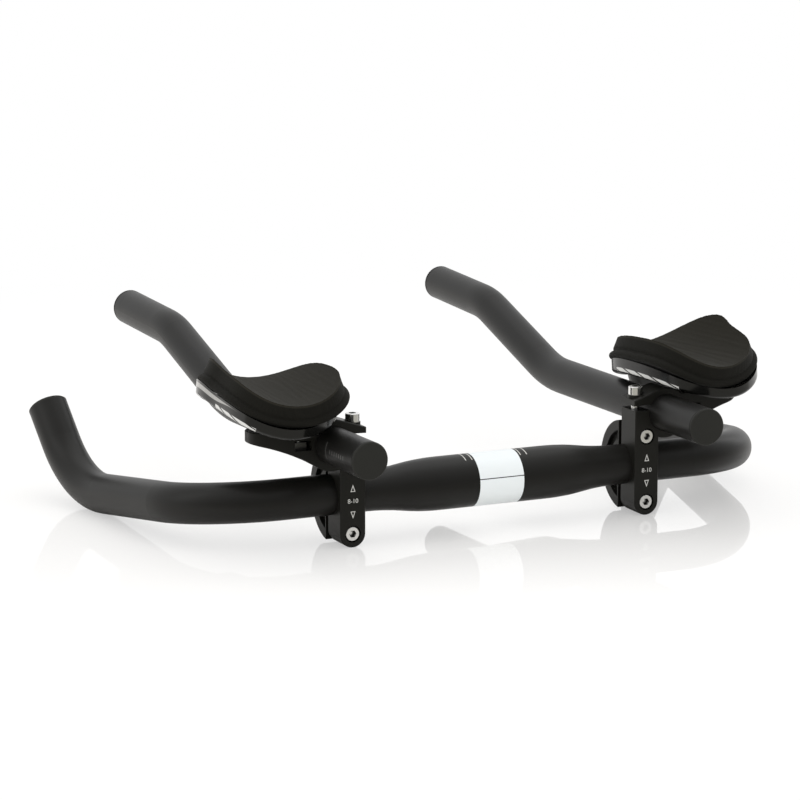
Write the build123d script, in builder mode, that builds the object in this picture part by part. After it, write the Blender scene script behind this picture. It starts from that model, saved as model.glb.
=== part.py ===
from build123d import *
import os
from math import acos, atan2, cos, hypot, radians, sin, sqrt, tan

# Aero handlebar: a bullhorn base bar that carries two clamp-on extensions with padded armrests.
# X is the rider's right, Y is forward, Z is up. The origin is the middle of the stem clamp area.
# The right-hand pieces are modelled and the left-hand ones are their mirror images.

# Base bar
stem_dia = 31.8  # full diameter under the stem clamp
bar_dia = 24.2  # tube diameter from the clamps to the horn ends
bar_wall = 2.2
stem_half = 34.0  # half length of the full-diameter centre
taper_gap = 4.6  # end of the taper inboard of the clamps
horn_corner = 182.0  # distance from the middle at which the bar would meet the horn's run
horn_bend = 57.0  # bend radius from the bar into the horn
horn_flare = 7.5  # angle at which the horn's run opens outwards
horn_drop = 7.55  # angle at which the horn's run dips
tip_bend = 65.0  # bend radius from the run up into the tip
tip_rise = 48.5  # angle at which the tip climbs
tip_length = 25.0  # straight length of the tip
tube_chamfer = 0.6  # broken edge of a cut tube end

# White film round the middle of the bar
wrap_half = 14.4  # half width of the film
wrap_thickness = 0.15
wrap_clearance = 0.05  # film's bed beyond the film
wrap_seam = 2.0  # angle left open at the butt seam
wrap_seam_lift = 11.0  # angle of the seam above level, on the rider's side

# Extension tube
ext_dia = 22.2
ext_wall = 2.0
ext_x = 109.2  # distance of the tube's axis from the middle, at the clamp
ext_splay = 0.55  # angle at which the two tubes spread towards the front
ext_rise = 32.7  # height of the tube's axis over the bar's axis at the clamp
ext_dip = 1.05  # angle at which the rear run falls towards the front
ext_rear = 65.5  # rear end, behind the bar's axis
ext_bend_y = 135.6  # corner of the first bend, ahead of the bar's axis
ext_step_y = 96.0  # length of the climbing run, measured level
ext_step_z = 29.4  # height of the climbing run
ext_reach = 304.7  # front end, ahead of the bar's axis
ext_front_z = 2.1  # height gained by the front run
ext_bend_low = 95.0  # radius of the first bend
ext_bend_high = 73.0  # radius of the second bend

# End plugs of the extensions and of the horns
plug_flange = 1.6
plug_stem = 14.0  # length inside the tube
plug_wall = 1.8
plug_clearance = 0.1  # radial play in the tube

# Clamp that joins extension, armrest and bar
clamp_inset = 12.6  # middle of the bar clamp inboard of the tube's axis
clamp_width = 16.0
clamp_back = 16.0  # rider's face, behind the bar's axis
clamp_front = 1.5  # front face of the rear half, ahead of the bar's axis
clamp_gap = 3.5  # open gap between the two halves
clamp_edge = 0.5  # broken edges of the rider's face
clamp_drop = 0.9  # middle of the clamp below the bar's axis
bolt_offset = 20.1  # clamp bolts above and below the clamp's middle
foot_margin = 8.0  # clamp below the lower bolt
cap_wall = 15.4  # front half, from the bar's surface to the outside
cap_pocket = 2.6  # depth of the lightening pocket in each side
cap_saddle_rim = 3.2  # rim left round the bar
cap_outer_rim = 6.0  # rim left along the outside
cap_face_rim = 1.0  # rim left along the split face
cap_tube_room = 1.0  # scoop in the cap's shoulder, clear of the extension
grip_clearance = 0.05  # play of a clamped tube in its seat

# Split ring round the extension and its pinch ears
ring_wall = 4.2
ear_top = 2.4  # top of the lower ear over the tube's axis
ear_reach = 21.3  # inboard end of the upper ear from the tube's axis
ear_end_rise = 9.0  # top of the upper ear's end over the tube's axis
ear_end_thickness = 3.5
ear_root_rise = 5.8  # underside of the upper ear at its root, over the tube's axis
ear_root = 12.2  # root of the upper ear inboard of the tube's axis
pinch_inset = 16.2  # pinch bolt inboard of the tube's axis
pinch_seat = 11.2  # seat of the pinch bolt's head over the tube's axis
pinch_boss_rim = 0.5  # boss beyond the head
pinch_depth = 10.5  # thread in the lower ear

# Arm that carries the armrest
arm_top = 11.3  # top of the arm over the tube's axis
arm_reach = 49.8  # tip of the arm outboard of the tube's axis
arm_tip_height = 6.8
arm_waist = 29.8  # where the underside turns up from the ring
arm_waist_height = 13.2
arm_root = 7.8  # where the underside leaves the ring
arm_root_drop = 13.2  # underside at the ring, below the tube's axis
arm_tip_round = 7.0  # plan radius of the tip's corners
nut_pocket_width = 10.6
nut_pocket_height = 6.0
nut_pocket_drop = 1.6  # bottom of the pocket below the tube's axis

# Armrest cup, hook patch and pad share one trough
rest_offset = 24.2  # middle of the armrest outboard of the tube's axis
rest_y = 9.5  # middle of the armrest ahead of the bar's axis
rest_yaw = 6.5  # angle at which the armrest turns in
rest_roll = 4.6  # angle at which its outboard side is lifted
trough_radius = 41.7  # inside of the pad
pad_thickness = 11.1
pad_round = 4.0  # rounded lower edge of the pad
hook_thickness = 2.4
cup_wall = 3.3
cup_rim = 6.2  # height of the cup's edge; inside it the underside is hollowed
cup_lip = 2.4  # width of that edge
cup_round = 2.2  # its rounded lower outside
cup_boss = 1.5  # boss between the arm and the lowest line of the cup
rim_half_width = 32.6  # pad's upper outline at the top of its walls
rim_shift = 0.7  # pad's outline inboard of the trough's axis
rim_half_length = 47.1  # pad's upper outline at the ends of its valley
# Bulge of the front outer, front inner, rear inner and rear outer corners, as a share of the half sizes
rim_fullness = (0.725, 0.67, 0.765, 0.675)
foot_fullness = (0.81, 0.88, 0.89, 0.76)
cup_fullness = (0.77, 0.775, 0.72, 0.72)
hook_fullness = (0.74, 0.74, 0.74, 0.74)
side_slant = 21.5  # angle at which the pad's long sides widen downwards
end_slant = 6.0  # angle at which the pad's ends draw in downwards
cup_half_width = 37.4
cup_half_length = 49.0
hook_half_width = 24.0
hook_half_length = 34.0
boss_inboard = 11.0  # cup's boss from the middle of the armrest
boss_outboard = 20.0
screw_inner = 18.4  # cup screws outboard of the tube's axis
screw_outer = 37.8

# M5 socket screws
bolt_dia = 5.0
head_dia = 8.5
head_height = 5.0
head_recess = 0.4  # bolt head below the rider's face
socket_width = 4.0  # across flats
socket_share = 0.55  # depth of the socket, as a share of the head's height
head_round = 0.45
head_clearance = 0.7  # radial room round a head
bolt_clearance = 0.1  # radial play of a shank in its hole
clamp_bolt_end = 2.0  # shank short of the cap's outside
low_head_height = 1.8
low_head_dia = 9.0
low_head_recess = 0.6  # cup screw's head below the cup's inside
nut_width = 8.0
nut_height = 4.0
nut_clearance = 0.2
screw_tail = 2.0  # inner cup screw below its nut
outer_screw_depth = 7.0  # outer cup screw's thread in the arm
thread_end = 1.0  # hole beyond the end of a screw
cut_margin = 6.0  # tools and trimming solids beyond the form they cut

# Derived sizes
bar_radius = bar_dia / 2
stem_radius = stem_dia / 2
bed_radius = stem_radius - wrap_thickness - wrap_clearance
bed_half = wrap_half + wrap_clearance
ext_radius = ext_dia / 2
bolt_radius = bolt_dia / 2
ext_front_y = ext_reach - ext_bend_y - ext_step_y
clamp_x = ext_x - clamp_inset
clamp_inboard = clamp_x - clamp_width / 2
taper_half = clamp_inboard - taper_gap
taper_mid = (stem_half + taper_half) / 2
bar_join = clamp_inboard + cut_margin
ear_end_x = ext_x - ear_reach
ear_root_x = ext_x - ear_root
slit_end_x = ext_x - ext_radius + ext_wall
pinch_x = ext_x - pinch_inset
arm_tip_x = ext_x + arm_reach
arm_waist_x = ext_x + arm_waist
arm_root_x = ext_x + arm_root
rest_x = ext_x + rest_offset
screw_inner_x = ext_x + screw_inner
screw_outer_x = ext_x + screw_outer
upper_bolt_z = bolt_offset - clamp_drop
lower_bolt_z = -bolt_offset - clamp_drop
foot_z = lower_bolt_z - foot_margin
cap_radius = bar_radius + cap_wall
cap_back = clamp_front + clamp_gap
clamp_depth = clamp_back + clamp_front
clamp_mid_y = (clamp_front - clamp_back) / 2
ring_radius = ext_radius + ring_wall
# The upper ear's top runs from its end to where it touches the ring
ear_touch = atan2(ear_end_rise, -ear_reach) - acos(ring_radius / hypot(ear_reach, ear_end_rise))

# The horn's run is as long as the dip needs for its underside to reach the level of the clamp feet
tip_reach = tip_bend * tan(radians((horn_drop + tip_rise) / 2))
corner_z = foot_z + bar_radius
corner_z += tip_bend * (1 - cos(radians(horn_drop))) - tip_reach * sin(radians(horn_drop))
run_length = -corner_z / sin(radians(horn_drop))
run_y = run_length * cos(radians(horn_drop)) * cos(radians(horn_flare))
run_x = run_length * cos(radians(horn_drop)) * sin(radians(horn_flare))
tip_run = tip_reach + tip_length
tip_y = tip_run * cos(radians(tip_rise)) * cos(radians(horn_flare))
tip_x = tip_run * cos(radians(tip_rise)) * sin(radians(horn_flare))
corner_a = Vector(horn_corner, 0, 0)
corner_b = corner_a + Vector(run_x, run_y, corner_z)
horn_end = corner_b + Vector(tip_x, tip_y, tip_run * sin(radians(tip_rise)))

# Extension path, level with ext_rise where the clamp holds it
dip_slope = tan(radians(ext_dip))
splay_slope = tan(radians(ext_splay))
rear_back = -ext_rear - clamp_mid_y
bend_ahead = ext_bend_y - clamp_mid_y
ext_a = Vector(ext_x + rear_back * splay_slope, -ext_rear, ext_rise - rear_back * dip_slope)
ext_b = Vector(ext_x + bend_ahead * splay_slope, ext_bend_y, ext_rise - bend_ahead * dip_slope)
ext_c = ext_b + Vector(ext_step_y * splay_slope, ext_step_y, ext_step_z)
ext_d = ext_c + Vector(ext_front_y * splay_slope, ext_front_y, ext_front_z)
ext_axis = Plane(origin=ext_a, x_dir=(1, 0, 0), z_dir=ext_b - ext_a)

# Armrest trough: local X across, local Y along the forearm, local Z up from the cup's lowest line
arm_top_z = ext_rise + arm_top
cup_radius = trough_radius + pad_thickness + hook_thickness
cup_radius_out = cup_radius + cup_wall
rim_radius = cup_radius + cup_rim
trough_z = arm_top_z + cup_boss + cup_radius_out
rest = Plane(Location((rest_x, rest_y, trough_z), (0, -rest_roll, rest_yaw)))
wall_rise = trough_radius - sqrt(trough_radius**2 - rim_half_width**2)
valley = -trough_radius
side_slope = tan(radians(side_slant))
end_slope = tan(radians(end_slant))
slab_top = valley + wall_rise + cut_margin
slab_bottom = valley - pad_thickness - hook_thickness - cup_rim - cut_margin
plan_reach = cup_half_length + cut_margin
rest_end = Plane(origin=rest.origin, x_dir=rest.x_dir, z_dir=-rest.y_dir).offset(-plan_reach)
rider_face = Plane.XZ.offset(clamp_back)


def rim_across(level):
    """Half width of the pad between its long sides, at a level of the trough."""
    return rim_half_width + (valley + wall_rise - level) * side_slope


def rim_along(level):
    """Half length of the pad between its ends, at a level of the trough."""
    return rim_half_length - (valley - level) * end_slope


class Oval(BaseSketchObject):
    """Closed oval, centred on the workplane, with its own bulge at each of its four corners."""

    def __init__(self, half_width, half_length, fullness, mode=Mode.ADD):
        front_outer, front_inner, rear_inner, rear_outer = fullness
        with BuildSketch() as oval:
            with BuildLine():
                Spline(
                    (half_width, 0),
                    (half_width * front_outer, half_length * front_outer),
                    (0, half_length),
                    (-half_width * front_inner, half_length * front_inner),
                    (-half_width, 0),
                    (-half_width * rear_inner, -half_length * rear_inner),
                    (0, -half_length),
                    (half_width * rear_outer, -half_length * rear_outer),
                    periodic=True,
                )
            make_face()
        super().__init__(obj=oval.sketch, align=None, mode=mode)


class HalfPipe(BaseSketchObject):
    """Lower half of a ring between two radii, the section of every layer of the armrest."""

    def __init__(self, inner, outer, mode=Mode.ADD):
        with BuildSketch() as ring:
            Circle(outer)
            Circle(inner, mode=Mode.SUBTRACT)
            with Locations((0, outer / 2)):
                Rectangle(2 * outer + cut_margin, outer, mode=Mode.SUBTRACT)
        super().__init__(obj=ring.sketch, align=None, mode=mode)


class PlugSection(BaseSketchObject):
    """Half section of a moulded end plug: flange outside the tube, hollow stem inside it."""

    def __init__(self, tube_radius, tube_wall, mode=Mode.ADD):
        stem = tube_radius - tube_wall - plug_clearance
        with BuildSketch() as section:
            with BuildLine():
                Polyline(
                    (0, plug_flange), (tube_radius - tube_chamfer, plug_flange),
                    (tube_radius, plug_flange - tube_chamfer), (tube_radius, 0),
                    (stem, 0), (stem, -plug_stem),
                    (stem - plug_wall, -plug_stem), (stem - plug_wall, -plug_wall),
                    (0, -plug_wall), close=True,
                )
            make_face()
        super().__init__(obj=section.sketch, align=None, mode=mode)


class SocketScrew(BasePartObject):
    """Cap screw whose head stands on the workplane and whose shank runs below it."""

    def __init__(self, length, screw_head_dia, screw_head_height, mode=Mode.ADD):
        with BuildPart() as screw:
            with BuildSketch():
                Circle(screw_head_dia / 2)
            extrude(amount=screw_head_height)
            fillet(screw.edges().group_by(Axis.Z)[-1], head_round)
            with BuildSketch():
                Circle(bolt_radius)
            extrude(amount=-length)
            with BuildSketch(Plane.XY.offset(screw_head_height)):
                RegularPolygon(socket_width / 2, 6, major_radius=False)
            extrude(amount=-socket_share * screw_head_height, mode=Mode.SUBTRACT)
        super().__init__(part=screw.part, align=None, mode=mode)


# Base bar: turned centre with its taper, then the bent tube out to the horn's end
with BuildPart() as base_bar:
    with BuildSketch(Plane.XY):
        with BuildLine():
            Polyline((0, bed_radius), (bed_half, bed_radius), (bed_half, stem_radius),
                     (stem_half, stem_radius))
            Bezier((stem_half, stem_radius), (taper_mid, stem_radius),
                   (taper_mid, bar_radius), (taper_half, bar_radius))
            Polyline((taper_half, bar_radius), (bar_join, bar_radius), (bar_join, bar_radius - bar_wall),
                     (taper_half, bar_radius - bar_wall))
            Bezier((taper_half, bar_radius - bar_wall), (taper_mid, bar_radius - bar_wall),
                   (taper_mid, stem_radius - bar_wall), (stem_half, stem_radius - bar_wall))
            Polyline((stem_half, stem_radius - bar_wall), (0, stem_radius - bar_wall), (0, bed_radius))
        make_face()
    revolve(axis=Axis.X)
    with BuildLine() as horn_path:
        FilletPolyline((bar_join, 0, 0), corner_a, corner_b, horn_end, radius=[horn_bend, tip_bend])
    with BuildSketch(Plane(origin=(bar_join, 0, 0), x_dir=(0, 1, 0), z_dir=(1, 0, 0))):
        Circle(bar_radius)
        Circle(bar_radius - bar_wall, mode=Mode.SUBTRACT)
    sweep(path=horn_path.line)
    end_face = base_bar.faces().sort_by_distance(horn_end)[0]
    chamfer(end_face.outer_wire().edges(), tube_chamfer)
    mirror(about=Plane.YZ)

# White film in its shallow groove, with an open butt seam on the rider's side
seam = Plane(origin=(0, 0, 0), x_dir=(1, 0, 0),
             z_dir=(0, -sin(radians(wrap_seam_lift)), -cos(radians(wrap_seam_lift))))
with BuildPart() as centre_wrap:
    with BuildSketch(seam):
        with Locations((0, stem_radius - wrap_thickness / 2)):
            Rectangle(2 * wrap_half, wrap_thickness)
    revolve(axis=Axis.X, revolution_arc=360 - wrap_seam)

# Extension: one tube in an S-bend
with BuildPart() as extension:
    with BuildLine() as ext_path:
        FilletPolyline(ext_a, ext_b, ext_c, ext_d, radius=[ext_bend_low, ext_bend_high])
    with BuildSketch(ext_axis):
        Circle(ext_radius)
        Circle(ext_radius - ext_wall, mode=Mode.SUBTRACT)
    sweep(path=ext_path.line)
    chamfer(extension.faces().sort_by(Axis.Y)[0].outer_wire().edges(), tube_chamfer)
    chamfer(extension.faces().sort_by(Axis.Y)[-1].outer_wire().edges(), tube_chamfer)


# Plugs, turned about the tube's axis at each open end
rear_out = (ext_a - ext_b).normalized()
rear_side = rear_out.cross(Vector(0, 0, 1))
with BuildPart() as plug_rear:
    with BuildSketch(Plane(origin=ext_a, x_dir=rear_side, z_dir=rear_side.cross(rear_out))):
        PlugSection(ext_radius, ext_wall)
    revolve(axis=Axis(ext_a, rear_out))

front_out = (ext_d - ext_c).normalized()
front_side = front_out.cross(Vector(0, 0, 1))
with BuildPart() as plug_front:
    with BuildSketch(Plane(origin=ext_d, x_dir=front_side, z_dir=front_side.cross(front_out))):
        PlugSection(ext_radius, ext_wall)
    revolve(axis=Axis(ext_d, front_out))

horn_out = (horn_end - corner_b).normalized()
horn_side = horn_out.cross(Vector(0, 0, 1))
with BuildPart() as plug_horn:
    with BuildSketch(Plane(origin=horn_end, x_dir=horn_side, z_dir=horn_side.cross(horn_out))):
        PlugSection(bar_radius, bar_wall)
    revolve(axis=Axis(horn_end, horn_out))

# Clamp body: rear half of the bar clamp, split ring, pinch ears and armrest arm in one forging
nut_z = ext_rise - nut_pocket_drop
with BuildPart() as clamp_body:
    with BuildSketch(rider_face):
        with Locations((clamp_x, (foot_z + clamp_width / 2 + ext_rise + ear_top) / 2)):
            Rectangle(clamp_width, ext_rise + ear_top - foot_z - clamp_width / 2)
        with Locations((clamp_x, foot_z + clamp_width / 2)):
            Circle(clamp_width / 2)
        with Locations((ext_x, ext_rise)):
            Circle(ring_radius)
        with BuildLine():
            Polyline(
                (ear_end_x, ext_rise + ear_end_rise - ear_end_thickness),
                (ear_end_x, ext_rise + ear_end_rise),
                (ext_x + ring_radius * cos(ear_touch), ext_rise + ring_radius * sin(ear_touch)),
                (ext_x, ext_rise + ear_root_rise), (ear_root_x, ext_rise + ear_root_rise), close=True,
            )
        make_face()
        with BuildLine():
            Polyline((arm_tip_x, arm_top_z - arm_tip_height), (arm_tip_x, arm_top_z), (ext_x, arm_top_z),
                     (ext_x, ext_rise - arm_root_drop), (arm_root_x, ext_rise - arm_root_drop))
            ThreePointArc((arm_root_x, ext_rise - arm_root_drop), (arm_waist_x, arm_top_z - arm_waist_height),
                          (arm_tip_x, arm_top_z - arm_tip_height))
        make_face()
    extrude(amount=-clamp_depth)
    tip_edges = clamp_body.edges().filter_by(Axis.Z).group_by(Axis.X)[-1]
    fillet(tip_edges, arm_tip_round)
    chamfer(clamp_body.faces().sort_by(Axis.Y)[0].edges(), clamp_edge)
    # Saddle for the bar, straight-sided past the bar's middle
    with BuildSketch(Plane.YZ.offset(clamp_inboard - cut_margin)):
        Circle(bar_radius + grip_clearance)
        with Locations((clamp_front, 0)):
            Rectangle(2 * clamp_front, 2 * (bar_radius + grip_clearance))
    extrude(amount=clamp_width + 2 * cut_margin, mode=Mode.SUBTRACT)
    # Bore for the extension
    with BuildSketch(ext_axis):
        Circle(ext_radius + grip_clearance)
    extrude(amount=2 * ext_rear, mode=Mode.SUBTRACT)
    # Wedge-shaped slit between the ears
    with BuildSketch(rider_face):
        with BuildLine():
            Polyline(
                (ear_end_x - cut_margin, ext_rise + ear_top), (slit_end_x, ext_rise + ear_top),
                (slit_end_x, ext_rise + ear_root_rise), (ear_root_x, ext_rise + ear_root_rise),
                (ear_end_x, ext_rise + ear_end_rise - ear_end_thickness),
                (ear_end_x - cut_margin, ext_rise + ear_end_rise - ear_end_thickness), close=True,
            )
        make_face()
    extrude(amount=-clamp_depth, mode=Mode.SUBTRACT)
    # Clamp bolt holes with counterbores in the rider's face
    with BuildSketch(rider_face):
        with Locations((clamp_x, upper_bolt_z), (clamp_x, lower_bolt_z)):
            Circle(bolt_radius + bolt_clearance)
    extrude(amount=-clamp_depth, mode=Mode.SUBTRACT)
    with BuildSketch(rider_face):
        with Locations((clamp_x, upper_bolt_z), (clamp_x, lower_bolt_z)):
            Circle(head_dia / 2 + head_clearance)
    extrude(amount=-(head_height + head_recess), mode=Mode.SUBTRACT)
    # Pinch bolt: round boss on the upper ear, thread in the lower one
    with BuildSketch(Plane.XY.offset(ext_rise + ear_end_rise - ear_end_thickness / 2)):
        with Locations((pinch_x, clamp_mid_y)):
            Circle(head_dia / 2 + pinch_boss_rim)
    extrude(amount=pinch_seat - ear_end_rise + ear_end_thickness / 2)
    with BuildSketch(Plane.XY.offset(ext_rise + pinch_seat)):
        with Locations((pinch_x, clamp_mid_y)):
            Circle(head_dia / 2 + head_clearance)
    extrude(amount=head_height, mode=Mode.SUBTRACT)
    with BuildSketch(Plane.XY.offset(ext_rise + ear_top - pinch_depth)):
        with Locations((pinch_x, clamp_mid_y)):
            Circle(bolt_radius + bolt_clearance)
    extrude(amount=pinch_depth + pinch_seat, mode=Mode.SUBTRACT)
    # Armrest screws: holes down through the arm, and a nut pocket that opens to the rider
    with BuildSketch(Plane.XY.offset(nut_z - screw_tail - thread_end)):
        with Locations((screw_inner_x, clamp_mid_y)):
            Circle(bolt_radius + bolt_clearance)
    extrude(amount=arm_top_z - nut_z + screw_tail + 2 * thread_end, mode=Mode.SUBTRACT)
    with BuildSketch(Plane.XY.offset(arm_top_z - outer_screw_depth - thread_end)):
        with Locations((screw_outer_x, clamp_mid_y)):
            Circle(bolt_radius + bolt_clearance)
    extrude(amount=outer_screw_depth + 2 * thread_end, mode=Mode.SUBTRACT)
    with BuildSketch(rider_face):
        with Locations((screw_inner_x, nut_z + nut_pocket_height / 2)):
            Rectangle(nut_pocket_width, nut_pocket_height)
    extrude(amount=-(clamp_back + clamp_mid_y + nut_width / 2 + nut_clearance), mode=Mode.SUBTRACT)

# Clamp cap: front half of the bar clamp, a thick half ring lightened from both sides
with BuildPart() as clamp_cap:
    with BuildSketch(Plane.YZ.offset(clamp_inboard)):
        with Locations((0, -clamp_drop)):
            Circle(cap_radius)
        Circle(bar_radius + grip_clearance, mode=Mode.SUBTRACT)
        with Locations((cap_back - cap_radius, 0)):
            Rectangle(2 * cap_radius, 2 * cap_radius + cut_margin, mode=Mode.SUBTRACT)
    extrude(amount=clamp_width)
    for face_x, inwards in ((clamp_inboard, 1), (clamp_inboard + clamp_width, -1)):
        with BuildSketch(Plane.YZ.offset(face_x)):
            with Locations((0, -clamp_drop)):
                Circle(cap_radius - cap_outer_rim)
            Circle(bar_radius + cap_saddle_rim, mode=Mode.SUBTRACT)
            with Locations((cap_back + cap_face_rim - cap_radius, 0)):
                Rectangle(2 * cap_radius, 2 * cap_radius + cut_margin, mode=Mode.SUBTRACT)
        extrude(amount=inwards * cap_pocket, mode=Mode.SUBTRACT)
    with BuildSketch(Plane.XZ.offset(-cap_back)):
        with Locations((clamp_x, upper_bolt_z), (clamp_x, lower_bolt_z)):
            Circle(bolt_radius + bolt_clearance)
    extrude(amount=-cap_radius, mode=Mode.SUBTRACT)
    with BuildSketch(ext_axis):
        Circle(ext_radius + cap_tube_room)
    extrude(amount=ext_rear + 2 * cap_radius, mode=Mode.SUBTRACT)


# Screws: two through each bar clamp, one across the pinch ears, two down through the cup
clamp_seat = rider_face.offset(-(head_height + head_recess))
cap_reach = sqrt(cap_radius**2 - (bolt_offset + bolt_radius)**2)
clamp_bolt_length = clamp_back - head_height - head_recess + cap_reach - clamp_bolt_end
with BuildPart(clamp_seat) as clamp_bolt_upper:
    with Locations((clamp_x, upper_bolt_z)):
        SocketScrew(clamp_bolt_length, head_dia, head_height)

with BuildPart(clamp_seat) as clamp_bolt_lower:
    with Locations((clamp_x, lower_bolt_z)):
        SocketScrew(clamp_bolt_length, head_dia, head_height)

with BuildPart() as pinch_bolt:
    with Locations((pinch_x, clamp_mid_y, ext_rise + pinch_seat)):
        SocketScrew(pinch_seat - ear_top + pinch_depth - thread_end, head_dia, head_height)

# Armrest cup: a trough shell inside a deeper edge, with a flat boss that sits on the arm
screw_seat_z = arm_top_z + cup_boss + cup_wall - low_head_height - low_head_recess
with BuildPart() as armrest_cup:
    with BuildSketch(rest_end):
        HalfPipe(cup_radius, rim_radius)
    extrude(amount=2 * plan_reach)
    with BuildSketch(rest.offset(slab_top)):
        Oval(cup_half_width, cup_half_length, cup_fullness)
    extrude(amount=slab_bottom - slab_top, mode=Mode.INTERSECT)
    outside = armrest_cup.faces().filter_by(GeomType.CYLINDER).sort_by(SortBy.RADIUS)[-1]
    fillet(outside.edges(), cup_round)
    with BuildPart(mode=Mode.SUBTRACT):
        with BuildSketch(rest_end):
            HalfPipe(cup_radius_out, rim_radius + cut_margin)
        extrude(amount=2 * plan_reach)
        with BuildSketch(rest.offset(slab_top)):
            Oval(cup_half_width - cup_lip, cup_half_length - cup_lip, cup_fullness)
        extrude(amount=slab_bottom - slab_top, mode=Mode.INTERSECT)
    with BuildSketch(Plane.XY.offset(arm_top_z)):
        with Locations((rest_x + (boss_outboard - boss_inboard) / 2, clamp_mid_y)):
            Rectangle(boss_inboard + boss_outboard, clamp_depth)
    extrude(amount=cup_boss + cup_wall + cut_margin)
    with BuildSketch(rest_end):
        Circle(cup_radius)
    extrude(amount=2 * plan_reach, mode=Mode.SUBTRACT)
    with BuildSketch(Plane.XY.offset(screw_seat_z)):
        with Locations((screw_inner_x, clamp_mid_y), (screw_outer_x, clamp_mid_y)):
            Circle(low_head_dia / 2 + head_clearance / 2)
    extrude(amount=cup_wall + cut_margin, mode=Mode.SUBTRACT)
    with BuildSketch(Plane.XY.offset(arm_top_z)):
        with Locations((screw_inner_x, clamp_mid_y), (screw_outer_x, clamp_mid_y)):
            Circle(bolt_radius + bolt_clearance)
    extrude(amount=cup_boss + cup_wall, mode=Mode.SUBTRACT)

with BuildPart() as cup_screw_inner:
    with Locations((screw_inner_x, clamp_mid_y, screw_seat_z)):
        SocketScrew(screw_seat_z - nut_z + screw_tail, low_head_dia, low_head_height)

with BuildPart() as cup_screw_outer:
    with Locations((screw_outer_x, clamp_mid_y, screw_seat_z)):
        SocketScrew(screw_seat_z - arm_top_z + outer_screw_depth, low_head_dia, low_head_height)

# Square nut held in the arm's pocket
with BuildPart() as cup_nut:
    with BuildSketch(Plane.XY.offset(nut_z)):
        with Locations((screw_inner_x, clamp_mid_y)):
            Rectangle(nut_width, nut_width)
            Circle(bolt_radius + bolt_clearance, mode=Mode.SUBTRACT)
    extrude(amount=nut_height)

# Hook patch between cup and pad
with BuildPart() as hook_patch:
    with BuildSketch(rest_end):
        HalfPipe(trough_radius + pad_thickness, cup_radius)
    extrude(amount=2 * plan_reach)
    with BuildSketch(rest.offset(slab_top)):
        Oval(hook_half_width, hook_half_length, hook_fullness)
    extrude(amount=slab_bottom - slab_top, mode=Mode.INTERSECT)

# Foam pad, a bent slab with a widening side
with BuildPart() as armrest_pad:
    with BuildSketch(rest_end):
        HalfPipe(trough_radius, trough_radius + pad_thickness)
    extrude(amount=2 * plan_reach)
    with BuildSketch(rest.offset(slab_top)):
        with Locations((-rim_shift, 0)):
            Oval(rim_across(slab_top), rim_along(slab_top), rim_fullness)
    with BuildSketch(rest.offset(slab_bottom)):
        with Locations((-rim_shift, 0)):
            Oval(rim_across(slab_bottom), rim_along(slab_bottom), foot_fullness)
    loft(ruled=True, mode=Mode.INTERSECT)
    underside = armrest_pad.faces().filter_by(GeomType.CYLINDER).sort_by(SortBy.RADIUS)[-1]
    fillet(underside.edges(), pad_round)

os.makedirs("parts", exist_ok=True)
base_bar.part.label = "base_bar"
export_step(base_bar.part, "parts/base_bar.step")
centre_wrap.part.label = "centre_wrap"
export_step(centre_wrap.part, "parts/centre_wrap.step")

handed = {
    "extension": extension,
    "plug_rear": plug_rear,
    "plug_front": plug_front,
    "plug_horn": plug_horn,
    "clamp_body": clamp_body,
    "clamp_cap": clamp_cap,
    "clamp_bolt_upper": clamp_bolt_upper,
    "clamp_bolt_lower": clamp_bolt_lower,
    "pinch_bolt": pinch_bolt,
    "armrest_cup": armrest_cup,
    "cup_screw_inner": cup_screw_inner,
    "cup_screw_outer": cup_screw_outer,
    "cup_nut": cup_nut,
    "hook_patch": hook_patch,
    "armrest_pad": armrest_pad,
}
for name, right in handed.items():
    right.part.label = f"{name}_right"
    export_step(right.part, f"parts/{name}_right.step")
    with BuildPart() as left:
        mirror(right.part, about=Plane.YZ)
    left.part.label = f"{name}_left"
    export_step(left.part, f"parts/{name}_left.step")
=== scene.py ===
"""Looks of an aero handlebar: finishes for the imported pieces, fabric pads, printed marks and the studio."""
import logging
import math
from dataclasses import dataclass, field
from enum import Enum
from typing import Any

import bpy
from mathutils import Matrix, Vector
from mathutils.kdtree import KDTree


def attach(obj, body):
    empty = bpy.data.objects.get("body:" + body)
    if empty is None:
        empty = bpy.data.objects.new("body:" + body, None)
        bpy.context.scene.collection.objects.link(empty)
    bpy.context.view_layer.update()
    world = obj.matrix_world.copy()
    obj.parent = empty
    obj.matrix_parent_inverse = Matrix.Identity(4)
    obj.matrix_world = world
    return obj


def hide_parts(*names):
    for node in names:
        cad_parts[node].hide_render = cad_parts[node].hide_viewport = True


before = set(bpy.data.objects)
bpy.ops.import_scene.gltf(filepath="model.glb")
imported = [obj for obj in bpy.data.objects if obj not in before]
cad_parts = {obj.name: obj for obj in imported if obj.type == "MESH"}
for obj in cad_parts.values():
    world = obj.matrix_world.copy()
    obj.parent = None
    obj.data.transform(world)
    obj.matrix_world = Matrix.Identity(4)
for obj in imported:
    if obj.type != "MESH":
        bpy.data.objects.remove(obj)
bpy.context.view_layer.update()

BODY = "root"
MM = 0.001
IMAGE_SIDE = 800
LOG = logging.getLogger("handlebar")

Colour = tuple[float, float, float]
Span = tuple[float, float]


class Side(Enum):
    """Rider's right or left, with the sign of X there."""

    RIGHT = 1
    LEFT = -1

    @property
    def word(self) -> str:
        """The ending of a node's name on this side."""
        return self.name.lower()


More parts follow.
